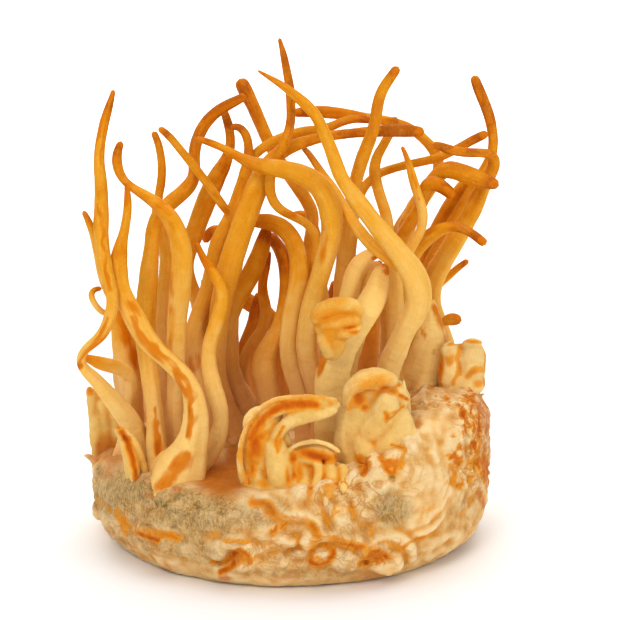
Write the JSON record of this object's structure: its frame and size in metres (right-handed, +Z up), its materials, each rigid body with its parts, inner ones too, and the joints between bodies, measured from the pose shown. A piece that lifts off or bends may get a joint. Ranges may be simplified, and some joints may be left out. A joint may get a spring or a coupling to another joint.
{
  "type": "cordyceps bunch",
  "caption": "Rounded mycelium cake with a thicket of slim, curving orange cordyceps fruiting bodies growing out of its top.",
  "frame": {"origin": "middle of the cake's flat underside, on the surface it rests on", "axes": "+Z up, along the stems, the longest extent; -Y is the front"},
  "size_m": [0.0818, 0.08, 0.0994],
  "materials": {
    "mycelium": "velvety, dry mycelium skin over grain, mottled cream, tan and orange",
    "stem": "satin, slightly waxy flesh, golden at the foot to deep orange at the tip",
    "pale_stem": "satin pale orange-cream flesh",
    "folded_flesh": "matte cream flesh with orange bruises in its folds"
  },
  "bodies": {
    "root": {"mycelium_cake": "mycelium", "stem_left_twisted": "stem", "shoot_left_twisted": "stem", "stem_front_red_tip": "stem", "stem_front_fork": "stem", "stem_long_arch": "stem", "stem_left_blunt": "stem", "stem_left_hook": "stem", "stem_left_stump": "stem", "stem_left_elbow": "stem", "lobe_left": "folded_flesh", "tongue_front_left": "folded_flesh", "stem_left_diagonal": "stem", "stem_club": "stem", "stem_inner_left": "stem", "stem_small_crook": "stem", "stem_great": "stem", "stem_beside_great": "stem", "stem_crozier": "stem", "stem_behind_crozier": "stem", "stem_wavy": "stem", "stem_wavy_behind": "stem", "stem_inner_slim": "stem", "stem_ribbed": "stem", "stem_top_spire": "stem", "stem_great_hook": "stem", "stem_long_diagonal": "stem", "stem_diagonal_twin": "stem", "stem_tall_kinked": "stem", "stem_right_knob_tip": "stem", "stem_right_arch": "stem", "stem_right_blunt": "stem", "stem_right_short": "stem", "stem_right_level": "stem", "stem_right_curl": "stem", "stem_far_right": "stem", "stem_right_straight": "stem", "stem_right_finger": "stem", "shoot_right_spike": "stem", "stem_right_slim": "stem", "stump_right": "folded_flesh", "knob_right": "folded_flesh", "stem_pale_broad": "pale_stem", "stem_pale_loop": "pale_stem", "stem_pale_inner": "pale_stem", "curled_head": "folded_flesh", "ear_lobe": "folded_flesh", "folded_lobe": "folded_flesh", "stem_back_dark": "stem", "stem_back_centre": "stem", "stem_back_curl": "stem", "stem_back_right_a": "stem", "stem_back_right_b": "stem", "stem_back_a": "stem", "stem_back_b": "stem", "stem_back_c": "stem", "stem_back_d": "stem", "stem_back_e": "stem", "shoot_right_nub": "stem", "shoot_left_loop": "stem"}
  },
  "joints": []
}
